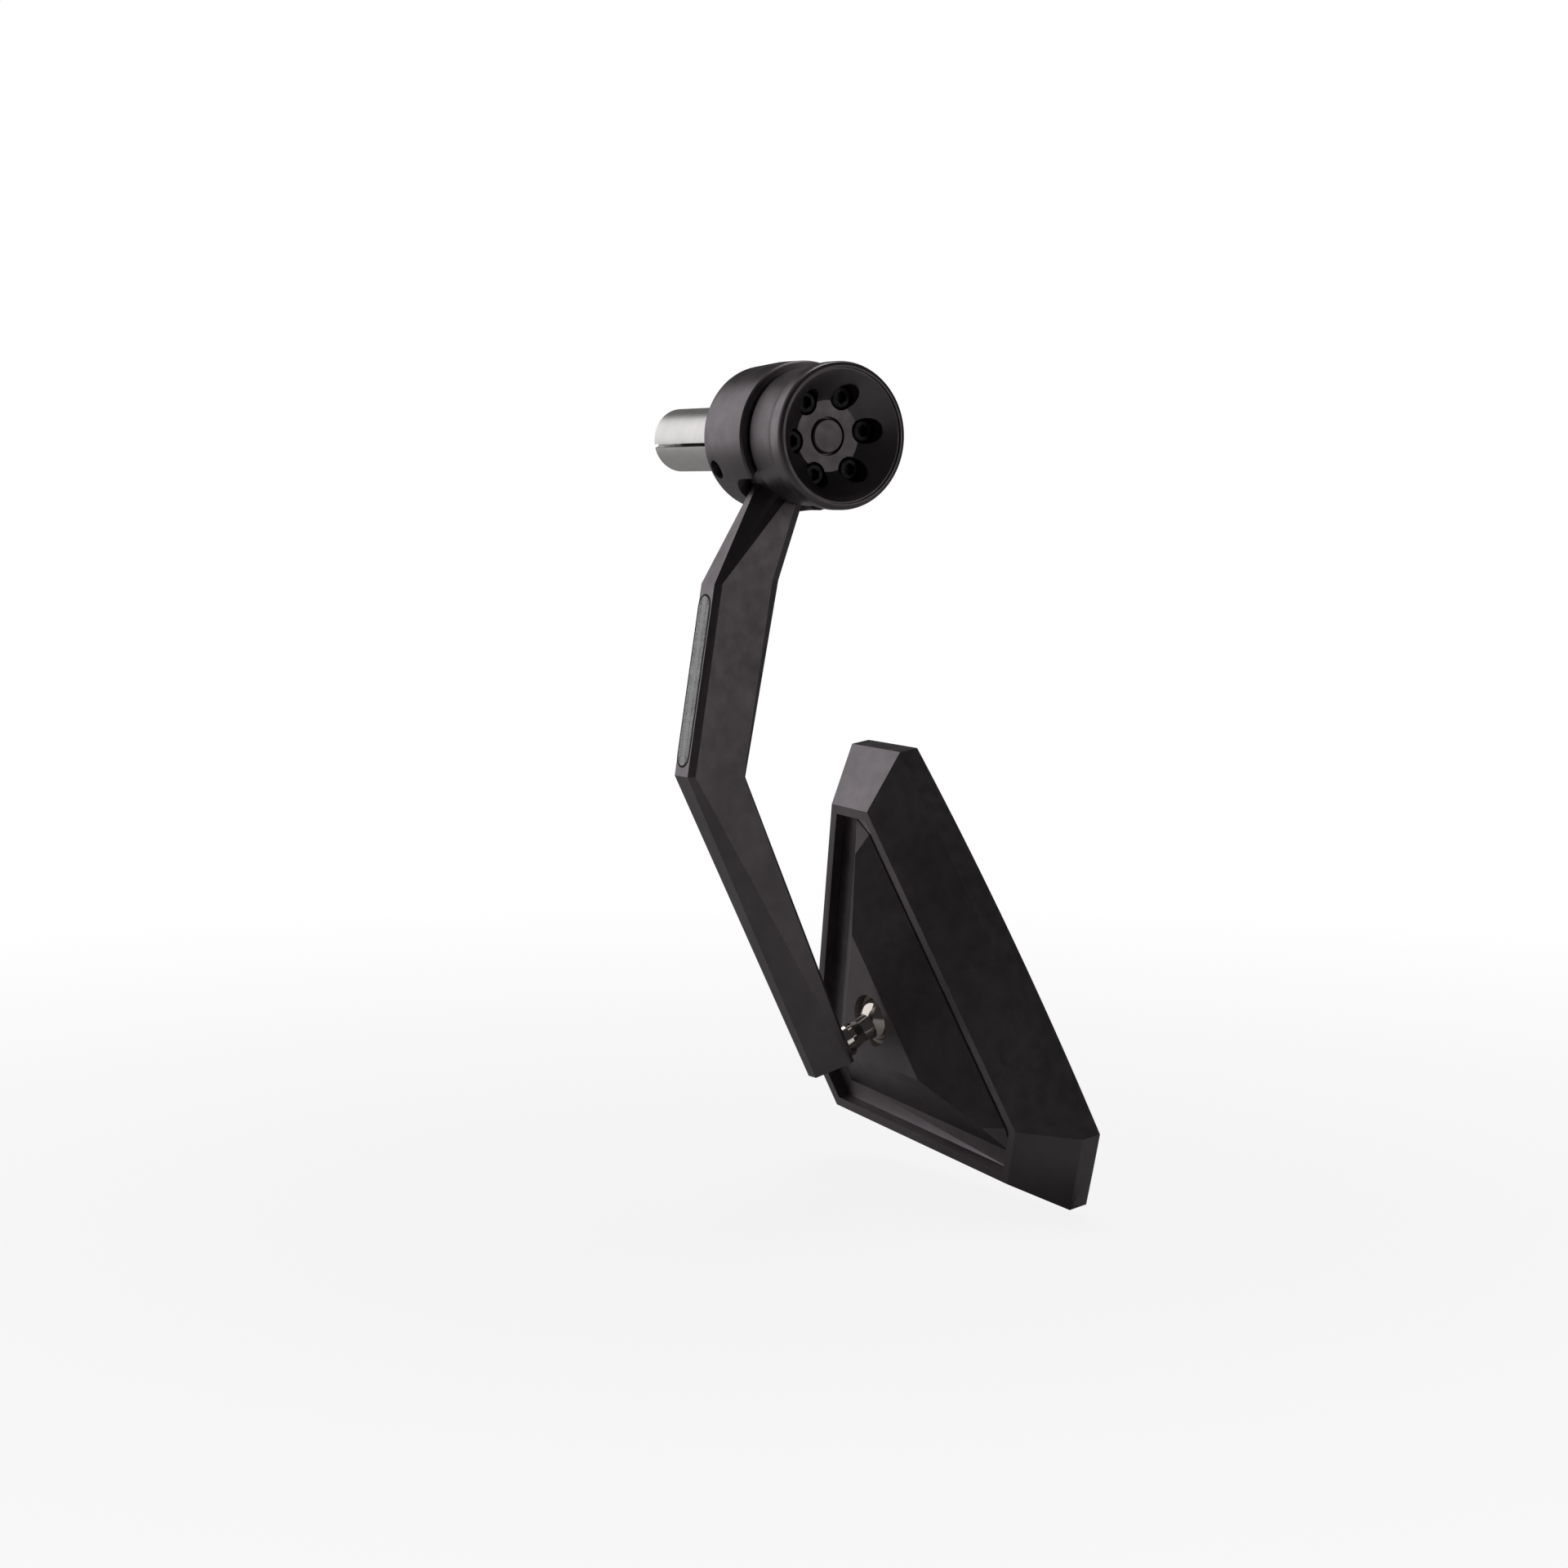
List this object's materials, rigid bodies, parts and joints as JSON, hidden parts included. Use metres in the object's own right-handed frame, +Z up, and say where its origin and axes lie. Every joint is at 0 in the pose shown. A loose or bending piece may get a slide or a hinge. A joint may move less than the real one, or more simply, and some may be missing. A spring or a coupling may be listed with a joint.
{
  "type": "motorcycle bar end mirror",
  "caption": "Bar end mirror: split plug and collar for a handlebar end, ringed weight, bent arm with a marker light, faceted mirror head on a ball joint.",
  "frame": {"origin": "centre of the collar's back face on the handlebar's axis, where the plug leaves the collar", "axes": "+X outward along the handlebar, +Y to the rider, so that the glass faces +Y, +Z up"},
  "size_m": [0.1254, 0.0848, 0.2087],
  "materials": {
    "bright_steel": "bright turned steel",
    "black_steel": "black oxide",
    "black_anodised": "bead-blasted, black anodised",
    "black_rubber": "matte",
    "clear_lens": "ribbed, translucent",
    "circuit_board": "solder mask",
    "polished_nickel": "polished nickel",
    "liner_plastic": "turned acetal",
    "turned_brass": "turned",
    "mirror_glass": "convex silvered glass"
  },
  "bodies": {
    "bar_plug": {"expander_sleeve": "bright_steel", "expander_cone": "bright_steel", "clamp_bolt": "black_steel", "bolt_washer": "bright_steel"},
    "arm_assembly": {"clamp_collar": "black_anodised", "grub_screws": "black_steel", "spacer_ring": "black_rubber", "outer_weight": "black_anodised", "cap_screws": "black_steel", "centre_plug": "black_anodised", "support_arm": "black_anodised", "lens_gasket": "black_rubber", "light_lens": "clear_lens", "light_board": "circuit_board", "ball_stud": "polished_nickel"},
    "liner": {"ball_liner": "liner_plastic"},
    "seat": {"seat_cup": "turned_brass"},
    "mirror_head": {"spring_washer": "bright_steel", "retaining_plate": "bright_steel", "plate_screws": "black_steel", "mirror_housing": "black_anodised", "adhesive_pad": "black_rubber", "mirror_glass": "mirror_glass"}
  },
  "joints": [
    {"name": "bar_swivel", "type": "hinge", "parent": "bar_plug", "child": "arm_assembly", "pos_m": [0, 0, 0], "axis": [1, 0, 0], "range_deg": [-90, 90]},
    {"name": "head_tilt", "type": "hinge", "parent": "arm_assembly", "child": "liner", "pos_m": [0.0156, 0.02599, -0.14765], "axis": [1, 0, 0], "range_deg": [-8, 14]},
    {"name": "head_swing", "type": "hinge", "parent": "liner", "child": "seat", "pos_m": [0.0156, 0.02599, -0.14765], "axis": [0, -0.396, 0.9183], "range_deg": [-12, 12]},
    {"name": "head_spin", "type": "hinge", "parent": "seat", "child": "mirror_head", "pos_m": [0.0156, 0.02599, -0.14765], "axis": [-0.0379, 0.9875, 0.153], "continuous": true}
  ]
}
